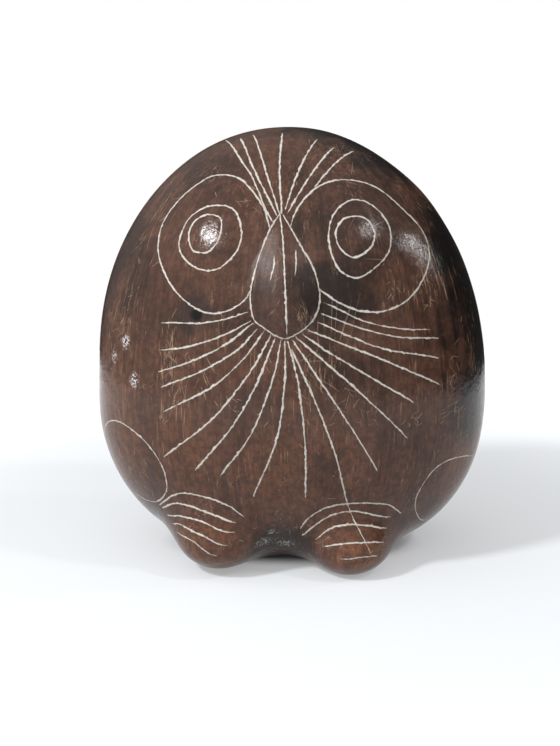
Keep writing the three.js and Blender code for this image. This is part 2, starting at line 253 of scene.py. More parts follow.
# Each patch: where its middle is [turn, lift], how far it spreads in degrees, how many scratches, the
# usual heading in degrees from upright and how much it varies, and the shortest and longest scratch.
# The last two patches are the few scratches all over the front and the back.
SCRATCH_PATCHES = [
    {"at": (-42, 20), "spread": (4.5, 10), "count": 38, "heading": (4, 12), "length": (1, 7)},
    {"at": (-45, 29), "spread": (3, 5), "count": 22, "heading": (-20, 25), "length": (1, 4)},
    {"at": (-47, 8), "spread": (2, 2), "count": 10, "heading": (30, 60), "length": (0.8, 2.5)},
    {"at": (-30, 22), "spread": (4, 8), "count": 14, "heading": (-30, 12), "length": (1.5, 5)},
    {"at": (-20, 16), "spread": (3, 3), "count": 8, "heading": (-50, 40), "length": (1, 3)},
    {"at": (10, 27), "spread": (6, 7), "count": 24, "heading": (-15, 35), "length": (1, 6)},
    {"at": (19, 17), "spread": (7, 6), "count": 14, "heading": (25, 45), "length": (1, 6)},
    {"at": (28, 12), "spread": (6, 5), "count": 14, "heading": (10, 40), "length": (0.8, 3)},
    {"at": (52, 43), "spread": (7, 6), "count": 30, "heading": (10, 40), "length": (0.8, 3.5)},
    {"at": (40, 45), "spread": (3, 3), "count": 14, "heading": (-20, 40), "length": (0.8, 3)},
    {"at": (60, 8.5), "spread": (6, 2.4), "count": 18, "heading": (70, 9), "length": (1, 4)},
    {"at": (60, 18), "spread": (4, 5), "count": 14, "heading": (20, 40), "length": (1, 5)},
    {"at": (46, 7.5), "spread": (3, 3), "count": 16, "heading": (50, 50), "length": (1, 3)},
    {"at": (66, -2), "spread": (3, 2), "count": 10, "heading": (80, 40), "length": (0.8, 2.5)},
    {"at": (4.5, 41), "spread": (2.5, 3), "count": 22, "heading": (-20, 25), "length": (1, 4)},
    {"at": (-4, 45), "spread": (3, 4), "count": 10, "heading": (20, 25), "length": (1, 3)},
    {"at": (-66, 30), "spread": (8, 12), "count": 50, "heading": (15, 30), "length": (0.8, 4)},
    {"at": (-66, 52), "spread": (6, 8), "count": 14, "heading": (40, 20), "length": (2, 12)},
    {"at": (-22, 65), "spread": (6, 4), "count": 14, "heading": (-50, 45), "length": (0.8, 5)},
    {"at": (34, 73), "spread": (14, 5), "count": 12, "heading": (-30, 80), "length": (1, 7)},
    {"at": (30, 59), "spread": (8, 5), "count": 6, "heading": (50, 20), "length": (2, 8)},
    {"at": (20, 40), "spread": (4, 4), "count": 5, "heading": (15, 8), "length": (8, 16)},
    {"at": (-62, -12), "spread": (6, 7), "count": 24, "heading": (0, 50), "length": (0.8, 3)},
    {"at": (-45, -34), "spread": (2, 2), "count": 8, "heading": (-40, 50), "length": (1, 3)},
    {"at": (-24, -34), "spread": (3, 2), "count": 10, "heading": (40, 50), "length": (1, 3)},
    {"at": (17, -37), "spread": (5, 2), "count": 7, "heading": (70, 30), "length": (1, 3)},
    {"at": (24, -38), "spread": (7, 1.5), "count": 7, "heading": (80, 20), "length": (1, 4)},
    {"at": (-2, -30), "spread": (12, 9), "count": 20, "heading": (0, 50), "length": (0.8, 3)},
    {"at": (0, 15), "spread": (75, 55), "count": 90, "heading": (0, 35), "length": (0.8, 4)},
    {"at": (180, 10), "spread": (95, 55), "count": 80, "heading": (0, 40), "length": (0.8, 6)},
]
SCRATCH = {
    "half_width": (0.03, 0.08),
    "depth": 0.1,
    "cutter_rise": 0.1,
    "bend": 0.012,  # share of its length
    "step": 0.6,
    "fewest_stations": 5,
    "end_taper": 0.3,  # share of the width that is left near its ends
    "unevenness": 0.15,
}
PATCH_FALLOFF = 0.6  # the standard deviation within a patch, as a share of its spread
SCRATCH_LIFTS = (-40, 80)  # no scratch lies on the base or right on the crown

# ---------------------------------------------------------------- the body's surface


def clamp01(value):
    return np.clip(value, 0.0, 1.0)


def smooth_union(a, b, blend):
    """Joins two distances with a rounded fillet of the given size."""
    share = clamp01(0.5 + 0.5 * (b - a) / blend)
    return b * (1 - share) + a * share - blend * share * (1 - share)


def egg_distance(p):
    """Roughly the distance from each point to the egg, negative inside."""
    x = p[:, 0] - EGG["offset_at_floor"] - EGG["lean_per_mm"] * p[:, 2]
    y = p[:, 1] - EGG["tuck"] * clamp01(1 - p[:, 2] / EGG["waist"]) ** 2
    z = p[:, 2] - EGG["waist"]
    height = np.where(z > 0, EGG["rise"], EGG["drop"])
    power = np.where(z > 0, EGG["crown_power"], EGG["base_power"])
    depth = np.where(p[:, 1] < 0, EGG["front_depth"], EGG["back_depth"])
    across = np.hypot(x / EGG["half_width"], y / depth)
    scale = (across**power + np.abs(z / height) ** power) ** (1 / power)
    return np.sqrt(x**2 + p[:, 1] ** 2 + z**2) * (1 - 1 / scale)


def foot_distance(p, foot):
    """Roughly the distance from each point to a foot's ellipsoid, negative inside."""
    offset = p - foot["centre"]
    radii = np.array(foot["radii"])
    scaled = np.linalg.norm(offset / radii, axis=1)
    gradient = np.linalg.norm(offset / radii**2, axis=1)
    return scaled * (scaled - 1) / np.maximum(gradient, 1e-9)


def eye_relief(p):
    total = np.zeros(len(p))
    for dome in EYE_DOMES:
        away = np.hypot(p[:, 0] - dome["x"], p[:, 2] - dome["z"]) / dome["radius"]
        total += dome["height"] * np.exp(-(away**2))
    return total


def beak_half_width(share):
    """The beak's half-width at a share of its height, 0 at the tip and 1 at the apex."""
    below = clamp01(1 - share / BEAK["widest_share"])
    left = clamp01((1 - share) / (1 - BEAK["widest_share"]))
    lower = np.sqrt(1 - below**2)
    upper = np.sin(left * math.pi / 2)
    return BEAK["half_width"] * np.where(share < BEAK["widest_share"], lower, upper)


def beak_relief(p):
    share = (p[:, 2] - BEAK["tip"]) / (BEAK["apex"] - BEAK["tip"])
    half_width = np.maximum(beak_half_width(clamp01(share)), 1e-6)
    centre = BEAK["centre_at_tip"] + (BEAK["centre_at_apex"] - BEAK["centre_at_tip"]) * share
    across = (p[:, 0] - centre) / half_width
    roof = 1 - (np.sqrt(across**2 + BEAK["ridge"] ** 2) - BEAK["ridge"]) / BEAK_ROOF_DROP
    relief = BEAK["height"] * (half_width / BEAK["half_width"]) ** BEAK["taper"] * clamp01(roof)
    return np.where((share > 0) & (share < 1), relief, 0.0)


def make_waves():
    """Random directions, lengths and starts for the gentle waves in the surface."""
    rng = np.random.default_rng(SEED)
    directions = rng.normal(size=(WAVES["count"], 3))
    directions /= np.linalg.norm(directions, axis=1, keepdims=True)
    lengths = rng.uniform(WAVES["shortest"], WAVES["longest"], WAVES["count"])
    starts = rng.uniform(0, 2 * math.pi, WAVES["count"])
    heights = WAVES["height"] * lengths / WAVES["longest"]
    return directions * (2 * math.pi / lengths)[:, None], starts, heights


WAVE_VECTORS, WAVE_STARTS, WAVE_HEIGHTS = make_waves()


def unevenness(p):
    return np.sin(p @ WAVE_VECTORS.T + WAVE_STARTS) @ WAVE_HEIGHTS


def body_distance(p):
    """Roughly the distance from each point to the finished body, negative inside."""
    plain = egg_distance(p)
    for foot in FEET:
        plain = smooth_union(plain, foot_distance(p, foot), FOOT_BLEND)
    relief = clamp01(-p[:, 1] / RELIEF_FADE) * (eye_relief(p) + beak_relief(p))
    return plain - relief - unevenness(p)


def surface_points(directions):
    """Walks in from outside along each direction from the centre until it meets the surface."""
    radius = np.full(len(directions), FAR_RADIUS)
    for _ in range(WALK["steps"]):
        distance = body_distance(CENTRE + directions * radius[:, None])
        radius -= WALK["share"] * distance
    return CENTRE + directions * radius[:, None]


def surface_normals(points):
    slopes = []
    for axis in np.eye(3):
        offset = NORMAL_REACH * axis
        slopes.append(body_distance(points + offset) - body_distance(points - offset))
    normals = np.stack(slopes, axis=1)
    return normals / np.linalg.norm(normals, axis=1, keepdims=True)


def directions_of(angles):
    """Unit vectors for rows of [turn, lift] in degrees."""
    turn, lift = np.radians(np.asarray(angles, float)).T
    return np.stack([np.sin(turn) * np.cos(lift), -np.cos(turn) * np.cos(lift), np.sin(lift)], axis=1)


def onto_surface(points):
    outward = points - CENTRE
    return surface_points(outward / np.linalg.norm(outward, axis=1, keepdims=True))


# ---------------------------------------------------------------- meshes


def add_object(name, points, faces, materials=()):
    """A mesh object from points in millimetres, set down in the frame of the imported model."""
    mesh = bpy.data.meshes.new(name)
    mesh.from_pydata(((points + TO_FRAME) / MM_PER_METRE).tolist(), [], faces)
    for material in materials:
        mesh.materials.append(material)
    mesh.shade_smooth()
    made = bpy.data.objects.new(name, mesh)
    bpy.context.scene.collection.objects.link(made)
    return made


def sphere_of_directions():
    sphere = bmesh.new()
    bmesh.ops.create_icosphere(sphere, subdivisions=SPHERE_SUBDIVISIONS, radius=1.0)
    directions = np.array([vertex.co for vertex in sphere.verts])
    faces = [[vertex.index for vertex in face.verts] for face in sphere.faces]
    sphere.free()
    return directions / np.linalg.norm(directions, axis=1, keepdims=True), faces


def body_skin():
    """The skin's points and faces. What would reach under the resting plane is ground flat on it."""
    directions, faces = sphere_of_directions()
    points = surface_points(directions)
    below = points[:, 2] < 0
    reach = -CENTRE[2] / directions[below, 2]
    points[below] = CENTRE + directions[below] * reach[:, None]
    points[below, 2] = 0.0
    return points, faces


def smooth_curve(corners, closed):
    """Many points on a centripetal Catmull-Rom curve through the corners."""
    if closed:
        ring = np.vstack([corners[-1:], corners, corners[:2]])
    else:
        ring = np.vstack([2 * corners[0] - corners[1], corners, 2 * corners[-1] - corners[-2]])
    knots = np.concatenate([[0.0], np.cumsum(np.linalg.norm(np.diff(ring, axis=0), axis=1) ** 0.5)])
    pieces = []
    for i in range(1, len(ring) - 2):
        t = np.linspace(knots[i], knots[i + 1], POINTS_PER_SPAN, endpoint=False)[:, None]
        k = knots[i - 1 : i + 3]
        a = [between(ring[i - 1 + j], ring[i + j], k[j], k[j + 1], t) for j in range(3)]
        b = [between(a[j], a[j + 1], k[j], k[j + 2], t) for j in range(2)]
        pieces.append(between(b[0], b[1], k[1], k[2], t))
    pieces.append(corners[:1] if closed else corners[-1:])
    return np.vstack(pieces)


def between(start, end, t_start, t_end, t):
    return start + (end - start) * (t - t_start) / (t_end - t_start)


def even_steps(curve, step, closed):
    along = np.concatenate([[0.0], np.cumsum(np.linalg.norm(np.diff(curve, axis=0), axis=1))])
    spans = max(4, round(along[-1] / step))
    wanted = np.linspace(0, along[-1], spans + 1)
    steps = np.stack([np.interp(wanted, along, curve[:, axis]) for axis in range(3)], axis=1)
    return steps[:-1] if closed else steps


def sideways(tangents, normals):
    """Unit vectors across a line, along the surface."""
    sides = np.cross(tangents, normals)
    return sides / np.linalg.norm(sides, axis=1, keepdims=True)


def stations_on(angles, closed, step):
    """Even stations along a line: points on the surface, normals and sideways directions."""
    corners = surface_points(directions_of(angles))
    points = onto_surface(even_steps(smooth_curve(corners, closed), step, closed))
    normals = surface_normals(points)
    if closed:
        tangents = np.roll(points, -1, axis=0) - np.roll(points, 1, axis=0)
    else:
        tangents = np.gradient(points, axis=0)
    return points, normals, sideways(tangents, normals)


def bar_along(stations, across, out, closed):
    """A closed bar. Rows of across and out give each station's corners, anticlockwise from its end."""
    points, normals, sides = stations
    count, corners = across.shape
    placed = (
        points[:, None, :]
        + sides[:, None, :] * across[:, :, None]
        + normals[:, None, :] * out[:, :, None]
    )
    faces = []
    for i in range(count if closed else count - 1):
        here = i * corners
        after = (i + 1) % count * corners
        for j in range(corners):
            k = (j + 1) % corners
            faces.append((here + j, after + j, after + k, here + k))
    if not closed:
        last = (count - 1) * corners
        faces.append(tuple(range(corners)))
        faces.append(tuple(range(last + corners - 1, last - 1, -1)))
    return placed.reshape(-1, 3), faces


def groove_bar(stations, left, right, depth, rise, closed):
    """A V-shaped cutter that is left and right wide at the surface and stands proud of it."""
    flare = 1 + rise / depth
    across = np.stack([-left * flare, np.zeros_like(left), right * flare], axis=1)
    out = np.stack([np.full_like(left, rise), -depth, np.full_like(left, rise)], axis=1)
    return bar_along(stations, across, out, closed)


def filling_bar(stations, left, right, depth, dip, closed):
    """The filling of a groove: a V below and a slightly hollow, uneven top."""
    fit, hollow = FILLING["width"], FILLING["hollow_width"]
    sunk = np.full_like(left, -FILLING["sunk"])
    bottom = np.zeros_like(left)
    across = np.stack([-left * fit, bottom, right * fit, right * hollow, -left * hollow], axis=1)
    out = np.stack([sunk, -FILLING["depth"] * depth, sunk, sunk - dip, sunk - dip], axis=1)
    return bar_along(stations, across, out, closed)


# ---------------------------------------------------------------- how the lines were scribed


def wander(rng, count, smoothness):
    """Smooth random numbers about 0, about 1 in size, that join up from end to start."""
    raw = rng.normal(size=count)
    if count <= smoothness:
        return np.zeros(count)
    wrapped = np.concatenate([raw[-smoothness:], raw, raw[:smoothness]])
    window = np.hanning(2 * smoothness + 3)[1:-1]
    window /= np.sqrt((window**2).sum())
    return np.convolve(wrapped, window, mode="valid")


def chips(rng, count, per_mm):
    """How far the edge is broken out at each station."""
    total = np.zeros(count)
    places = np.arange(count) * STEP_ALONG_LINE
    for _ in range(rng.poisson(per_mm * count * STEP_ALONG_LINE)):
        away = places - rng.uniform(0, places[-1])
        away /= CHIP["length"] * rng.uniform(*CHIP["length_factor"])
        reach = CHIP["reach"] * rng.uniform(*CHIP["reach_factor"])
        total = np.maximum(total, reach * np.exp(-(away**2)))
    return total


def line_widths(name, rng, count, closed):
    """The half-widths to each side of a line at its stations."""
    weight = np.full(count, GROOVE["half_width"] * LINE_WEIGHT.get(name, 1.0))
    weight *= 1 + WIDTH_DRIFT["share"] * wander(rng, count, WIDTH_DRIFT["stations"])
    if not closed:
        from_end = np.minimum(np.arange(count), np.arange(count)[::-1]) * STEP_ALONG_LINE
        weight *= THINNEST + (1 - THINNEST) * clamp01(from_end / END_TAPER) ** TAPER_POWER
    if name in FADING_LINES:
        fade = FADING_LINES[name]
        faded = clamp01((np.linspace(0, 1, count) - fade["from"]) / fade["over"])
        weight *= 1 - (1 - fade["left"]) * faded
    edges = []
    for _ in range(2):
        edge = weight * (1 + RAGGEDNESS * wander(rng, count, 1))
        edges.append(edge + chips(rng, count, CHIPPED_LINES.get(name, CHIPS_PER_MM)))
    return edges


def all_lines():
    """Every line as (name, angles, closed)."""
    lines = [(name, angles, False) for name, angles in OPEN_LINES.items()]
    lines += [(name, angles, True) for name, angles in CLOSED_LINES.items()]
    return sorted(lines)


def scribe(name, angles, closed, rng, filling_material):
    """Makes a line's cutter, and its filling as a piece in place of the CAD node of that name."""
    stations = stations_on(angles, closed, STEP_ALONG_LINE)
    count = len(stations[0])
    left, right = line_widths(name, rng, count, closed)
    depth = GROOVE["depth"] * np.minimum(1, (left + right) / (2 * GROOVE["half_width"]))
    cutter = groove_bar(stations, left, right, depth, GROOVE["cutter_rise"], closed)
    least, extra = FILLING["hollow"]
    dip = least + extra * np.abs(wander(rng, count, 2))
    filling = filling_bar(stations, left, right, depth, dip, closed)
    piece = add_object(name + "_filling", *filling, [filling_material])
    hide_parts(name)
    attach(piece, "root")
    return cutter


def scratch_frame(patch, rng):
    """Where a scratch's middle is, and unit vectors along it and beside it."""
    turn, lift = np.array(patch["at"]) + rng.normal(size=2) * patch["spread"] * PATCH_FALLOFF
    lift = np.clip(lift, *SCRATCH_LIFTS)
    heading = math.radians(patch["heading"][0] + patch["heading"][1] * rng.normal())
    middle = surface_points(directions_of([[turn, lift]]))
    normal = surface_normals(middle)[0]
    level = np.cross([0.0, 0.0, 1.0], normal)
    level /= np.linalg.norm(level)
    upright = np.cross(normal, level)
    along = upright * math.cos(heading) + level * math.sin(heading)
    return middle, along, np.cross(normal, along)


def scratch_cutter(patch, rng):
    """One shallow scratch somewhere in its patch."""
    middle, along, beside = scratch_frame(patch, rng)
    length = rng.uniform(*patch["length"])
    count = max(SCRATCH["fewest_stations"], round(length / SCRATCH["step"]))
    share = np.linspace(-0.5, 0.5, count)[:, None]
    bend = rng.normal() * length * SCRATCH["bend"]
    points = onto_surface(middle + length * share * along + bend * (4 * share**2 - 0.5) * beside)
    normals = surface_normals(points)
    sides = sideways(np.gradient(points, axis=0), normals)
    thin = SCRATCH["end_taper"]
    taper = thin + (1 - thin) * np.sin(np.linspace(0.05, 0.95, count) * math.pi)
    width = rng.uniform(*SCRATCH["half_width"]) * taper
    width *= 1 + SCRATCH["unevenness"] * rng.normal(size=count)
    depth = SCRATCH["depth"] * taper
    return groove_bar((points, normals, sides), width, width, depth, SCRATCH["cutter_rise"], False)


# ---------------------------------------------------------------- cutting the body


def cut_away(body, cutters, material):
    """Cuts every groove and scratch out of the body. The cut faces get the given material."""
    group = bpy.data.collections.new("cutters")
    for i, (points, faces) in enumerate(cutters):
        cutter = add_object(f"cutter_{i}", points, faces, [material])
        group.objects.link(cutter)
    modifier = body.modifiers.new("grooves", "BOOLEAN")
    modifier.operation = "DIFFERENCE"
    modifier.operand_type = "COLLECTION"
    modifier.collection = group
    modifier.solver = "MANIFOLD"
    modifier.material_mode = "TRANSFER"
    graph = bpy.context.evaluated_depsgraph_get()
    finished = bpy.data.meshes.new_from_object(body.evaluated_get(graph))
    body.modifiers.clear()
    body.data = finished
    for cutter in list(group.objects):
        bpy.data.objects.remove(cutter)
    bpy.data.collections.remove(group)


GROUND_FLAT = 0.01  # a skin point no higher than this is on the base


def set_skin_normals(body, skin_slot):
    """Shades the skin by the true surface, so that no triangle shows, and leaves cuts crisp."""
    mesh = body.data
    coordinates = np.empty(len(mesh.vertices) * 3)
    mesh.vertices.foreach_get("co", coordinates)
    points = coordinates.reshape(-1, 3) * MM_PER_METRE - TO_FRAME
    normals = surface_normals(points)
    corner_vertices = np.empty(len(mesh.loops), int)
    mesh.loops.foreach_get("vertex_index", corner_vertices)
    corner_normals = normals[corner_vertices]
    for polygon in mesh.polygons:
        corners = list(polygon.loop_indices)
        if polygon.material_index != skin_slot:
            corner_normals[corners] = 0.0
        elif all(points[v][2] < GROUND_FLAT for v in polygon.vertices):
            corner_normals[corners] = (0.0, 0.0, -1.0)
    mesh.normals_split_custom_set(corner_normals.tolist())


# ---------------------------------------------------------------- materials


def add_node(tree, kind, inputs, **settings):
    made = tree.nodes.new(kind)
    for name, value in settings.items():
        setattr(made, name, value)
    for socket, value in inputs.items():
        if isinstance(value, bpy.types.NodeSocket):
            tree.links.new(value, made.inputs[socket])
        else:
            made.inputs[socket].default_value = value
    return made


BLOB_CORE = 0.35  # a soft blob is at full strength out to this share of its radii


class Shader:
    """A material's node tree, with short ways to add to it. Its coordinates are in millimetres."""

    def __init__(self, name):
        self.material = bpy.data.materials.new(name)
        self.material.use_nodes = True
        self.tree = self.material.node_tree
        self.tree.nodes.clear()
        place = self.node("ShaderNodeTexCoord", {}).outputs["Object"]
        self.place = self.vector("SCALE", place, scale=MM_PER_METRE)

    def node(self, kind, inputs, **settings):
        return add_node(self.tree, kind, inputs, **settings)

    def vector(self, operation, a, b=(0.0, 0.0, 0.0), scale=None):
        inputs = {0: a, 1: b}
        if scale is not None:
            inputs = {0: a, "Scale": scale}
        return self.node("ShaderNodeVectorMath", inputs, operation=operation).outputs["Vector"]

    def length(self, a):
        return self.node("ShaderNodeVectorMath", {0: a}, operation="LENGTH").outputs["Value"]

    def math(self, operation, a, b=0.0, clamp=False):
        return self.node("ShaderNodeMath", {0: a, 1: b}, operation=operation, use_clamp=clamp).outputs[0]

    def around_zero(self, pattern, spread):
        """Shifts a pattern of 0 to 1 so that its middle is 0, and scales it."""
        return self.math("MULTIPLY", self.math("SUBTRACT", pattern, 0.5), spread)

    def noise(self, place, size, detail=3.0, roughness=0.55, distortion=0.0):
        """Noise from 0 to 1 whose blotches are about size millimetres across."""
        inputs = {"Vector": place, "Scale": 1 / size, "Detail": detail, "Roughness": roughness}
        inputs["Distortion"] = distortion
        return self.node("ShaderNodeTexNoise", inputs).outputs["Fac"]

    def ramp(self, value, low, high, to_low=0.0, to_high=1.0):
        """Turns low..high smoothly into to_low..to_high."""
        inputs = {"Value": value, "From Min": low, "From Max": high, "To Min": to_low, "To Max": to_high}
        return self.node("ShaderNodeMapRange", inputs, interpolation_type="SMOOTHSTEP").outputs["Result"]

    def mix(self, share, a, b, blend="MIX"):
        inputs = {0: share, 6: (*a, 1.0) if isinstance(a, tuple) else a}
        inputs[7] = (*b, 1.0) if isinstance(b, tuple) else b
        made = self.node("ShaderNodeMix", inputs, data_type="RGBA", blend_type=blend)
        return made.outputs[2]

    def blob(self, centre, radii, edge=0.0):
        """1 in the middle of a soft ellipsoid and 0 outside it. edge is noise that frays it."""
        offset = self.vector("SUBTRACT", self.place, centre)
        scaled = self.vector("DIVIDE", offset, radii)
        away = self.math("ADD", self.length(scaled), edge)
        return self.ramp(away, 1.0, BLOB_CORE)

    def any_of(self, blobs):
        total = blobs[0]
        for blob in blobs[1:]:
            total = self.math("MAXIMUM", total, blob)
        return total

    def bump(self, height, depth, normal=None):
        """A bump whose height of 1 is depth millimetres."""
        inputs = {"Height": height, "Distance": depth / MM_PER_METRE, "Strength": 1.0}
        if normal is not None:
            inputs["Normal"] = normal
        return self.node("ShaderNodeBump", inputs).outputs["Normal"]

    def finish(self, sockets):
        """Connects the principled shader to the output."""
        shader = self.node("ShaderNodeBsdfPrincipled", sockets)
        self.node("ShaderNodeOutputMaterial", {"Surface": shader.outputs["BSDF"]})
        return self.material


# Smoke clouds darker than the brown, and painted shade under the belly between the feet and beside the
# beak: middle and radii in millimetres, and strength.
SOOT_AND_PAINTED_SHADE = [
    {"centre": (72, -12, 90), "radii": (31, 50, 46), "strength": 0.97},
    {"centre": (62, -14, 118), "radii": (31, 36, 28), "strength": 0.97},
    {"centre": (40, -4, 142), "radii": (42, 36, 21), "strength": 0.97},
    {"centre": (14, 2, 152), "radii": (24, 30, 11), "strength": 0.85},
    {"centre": (66, -18, 68), "radii": (22, 28, 27), "strength": 0.95},
    {"centre": (30, -34, 126), "radii": (36, 26, 28), "strength": 0.4},
    {"centre": (-11, -46, 88), "radii": (20, 14, 20), "strength": 0.35},
    {"centre": (63, -24, 56), "radii": (16, 20, 17), "strength": 0.75},
    {"centre": (-30, -20, 136), "radii": (18, 20, 8), "strength": 0.55},
    {"centre": (-54, -16, 112), "radii": (13, 18, 20), "strength": 0.55},
    {"centre": (-60, -12, 92), "radii": (12, 20, 18), "strength": 0.3},
    # Painted shade: darker right of the beak, where its right side faces away from the light.
    {"centre": (12, -46, 99), "radii": (19, 16, 13), "strength": 0.7},
    {"centre": (22, -40, 106), "radii": (16, 16, 9), "strength": 0.5},
    # Painted shade on the beak's lower right side.
    {"centre": (9, -52, 86), "radii": (11, 12, 14), "strength": 0.6},
    {"centre": (18, -50, 76), "radii": (12, 12, 10), "strength": 0.4},
    # Painted shade under the belly, between the feet.
    {"centre": (0, -34, 10), "radii": (20, 16, 11), "strength": 0.75},
    {"centre": (12, -48, 38), "radii": (10, 14, 16), "strength": 0.4},
    {"centre": (30, -44, 46), "radii": (12, 14, 12), "strength": 0.3},
    {"centre": (-36, 40, 110), "radii": (34, 30, 30), "strength": 0.7},
    {"centre": (20, 48, 40), "radii": (30, 24, 26), "strength": 0.5},
]
# Lighter orange-brown: wear on the toes, and painted light on the lower flanks, where the floor's
# reflection and the light from the left are painted into the colour.
WORN_AND_LIT = [
    {"centre": (-28, -44, 12), "radii": (24, 20, 14), "strength": 0.8},
    {"centre": (21, -46, 10), "radii": (20, 18, 14), "strength": 1.0},
    # Painted reflection of the floor on the lower right flank.
    {"centre": (60, -22, 34), "radii": (14, 20, 20), "strength": 0.6},
    # Painted light on the lower left flank, lit from the left.
    {"centre": (-60, -18, 50), "radii": (18, 26, 34), "strength": 0.65},
    {"centre": (-36, -46, 44), "radii": (18, 18, 28), "strength": 0.5},
    {"centre": (8, -48, 36), "radii": (38, 16, 28), "strength": 0.55},
    {"centre": (-8, 50, 60), "radii": (40, 20, 30), "strength": 0.4},
]
# Places that rubbing has covered with fine tan scuffs.
SCUFFED = [
    {"centre": (-41, -39, 75), "radii": (7, 10, 14), "strength": 1.0},
    {"centre": (-43, -38, 62), "radii": (7, 10, 7), "strength": 0.9},
    {"centre": (10, -51, 72), "radii": (10, 10, 12), "strength": 1.0},
    {"centre": (44, -32, 99), "radii": (10, 12, 9), "strength": 0.9},
    {"centre": (33, -38, 95), "radii": (9, 12, 7), "strength": 0.6},
    {"centre": (52, -33, 56), "radii": (13, 10, 5.0), "strength": 0.3},
    {"centre": (3, -50, 90), "radii": (5, 9, 5), "strength": 1.0},
    {"centre": (-57, -24, 88), "radii": (11, 16, 14), "strength": 0.7},
    {"centre": (-27, -24, 135), "radii": (9, 14, 5), "strength": 0.8},
    {"centre": (-2, -32, 9), "radii": (14, 14, 7), "strength": 0.5},
    {"centre": (-60, -22, 34), "radii": (10, 14, 12), "strength": 0.5},
]
KNOT = {"centre": (-30.5, -42.3, 90.9), "core": 3.2, "halo": 9.0, "halo_strength": 0.5}
# The beak is less polished than the rest.
MATT_BEAK = {"centre": (-4.0, -48.0, 104.0), "radii": (21.0, 14.0, 34.0), "roughness": 0.3}
# Whitish crumbs of dried polish: three spots on the left side; and pale smears above the gap of the feet,
# partly scuffs and partly a painted reflection of the floor.
WHITE_FLECKS_AND_SHEEN = [
    {"centre": (-55.2, -28.3, 79.6), "radii": (2.7, 3.0, 3.3), "strength": 0.9},
    {"centre": (-59.7, -24.0, 73.7), "radii": (2.4, 3.0, 3.0), "strength": 0.7},
    {"centre": (-52.3, -32.2, 67.4), "radii": (2.7, 3.0, 3.6), "strength": 0.9},
    # Partly painted reflection: pale grey sheen of the floor on the belly above the gap of the feet.
    {"centre": (-9.4, -37.3, 12.4), "radii": (6.0, 4.0, 2.6), "strength": 0.25},
    {"centre": (-1.9, -33.6, 10.7), "radii": (4.5, 4.0, 2.4), "strength": 0.35},
    {"centre": (-6.7, -37.3, 16.5), "radii": (3.5, 4.0, 1.5), "strength": 0.3},
]


# Colours, as linear red, green and blue.
BROWN = {
    "dark": (0.052, 0.0245, 0.0158),
    "light": (0.106, 0.0475, 0.0295),
    "worn_and_lit": (0.165, 0.067, 0.034),
    "stroke": (0.122, 0.059, 0.040),
    "streak_tint": (0.6, 0.57, 0.55),
    "mottle": (0.026, 0.014, 0.011),
    "soot_and_shade": (0.0045, 0.0042, 0.004),
    "scuff": (0.36, 0.21, 0.125),
    "speck": (0.42, 0.29, 0.19),
    "pit": (0.008, 0.005, 0.004),
    "knot_halo": (0.016, 0.015, 0.016),
    "knot": (0.001, 0.0015, 0.002),
    "fleck_and_sheen": (0.66, 0.66, 0.66),
}
TAN = {"dark": (0.19, 0.12, 0.075), "light": (0.42, 0.30, 0.20)}
CHALK = {
    "dark": (0.31, 0.285, 0.255),
    "light": (0.53, 0.515, 0.475),
    "stain": (0.44, 0.34, 0.26),
    "thin": (0.17, 0.12, 0.095),
}
PAPER = {"dark": (0.46, 0.485, 0.51), "light": (0.48, 0.50, 0.525), "painted_glow": (1.0, 1.0, 1.0, 1.0)}
# About how big the blotches of each pattern in the brown are, in millimetres.
SIZE = {
    "streaks": 1.1,
    "strokes": 4.5,
    "blotches": 20.0,
    "mottle": 2.6,
    "scuffs": 0.8,
    "scuff_zones": 12.0,
    "specks": 1.1,
    "pits": 0.8,
    "crumbs": 0.7,
    "dents": 2.6,
}
BUMP = {"dents": 0.15, "streaks": 0.06, "pits": -0.06, "tan": 0.05, "chalk": 0.08, "paper": 0.02}
STREAK_STRETCH = 14.0
FRAY = {"blotches": 1.6, "strokes": 0.9}  # how far each pattern frays the edges of soft patches
BROWN_SPECULAR = 0.27
# The streaks run together above the crown, this far over it, and are squeezed there no more than this.
POLE = {"above_crown": 6.0, "least": 0.03}


def soft_patches(shader, patches, edge):
    """The strongest of several soft patches at each place."""
    blobs = []
    for patch in patches:
        blob = shader.blob(patch["centre"], patch["radii"], edge)
        blobs.append(shader.math("MULTIPLY", blob, patch["strength"]))
    return shader.any_of(blobs)


def along_meridians(shader, stretch):
    """Coordinates that streaks follow up the egg's sides, drawn out upwards by the given factor."""
    apart = shader.node("ShaderNodeSeparateXYZ", {0: shader.place})
    level = shader.math("SUBTRACT", apart.outputs["Z"], EGG["waist"])
    height = shader.math("DIVIDE", level, EGG["rise"] + POLE["above_crown"])
    inside = shader.math("SUBTRACT", 1.0, shader.math("MULTIPLY", height, height))
    shrink = shader.math("SQRT", shader.math("MAXIMUM", inside, POLE["least"]))
    x = shader.math("DIVIDE", apart.outputs["X"], shrink)
    y = shader.math("DIVIDE", apart.outputs["Y"], shrink)
    z = shader.math("DIVIDE", apart.outputs["Z"], stretch)
    return shader.node("ShaderNodeCombineXYZ", {"X": x, "Y": y, "Z": z}).outputs["Vector"]


def brown_patterns(shader):
    """The noise patterns that the brown's colour, gloss and bumps share."""
    streaky = along_meridians(shader, STREAK_STRETCH)
    place = shader.place
    blotches = shader.noise(place, SIZE["blotches"], detail=5.0, roughness=0.62, distortion=0.5)
    return {
        "streaky": streaky,
        "streaks": shader.noise(streaky, SIZE["streaks"], detail=5.0, roughness=0.65),
        "strokes": shader.noise(streaky, SIZE["strokes"], detail=3.0),
        "blotches": blotches,
        "mottle": shader.noise(place, SIZE["mottle"], detail=6.0, roughness=0.7),
        "edge": shader.around_zero(blotches, FRAY["blotches"]),
    }


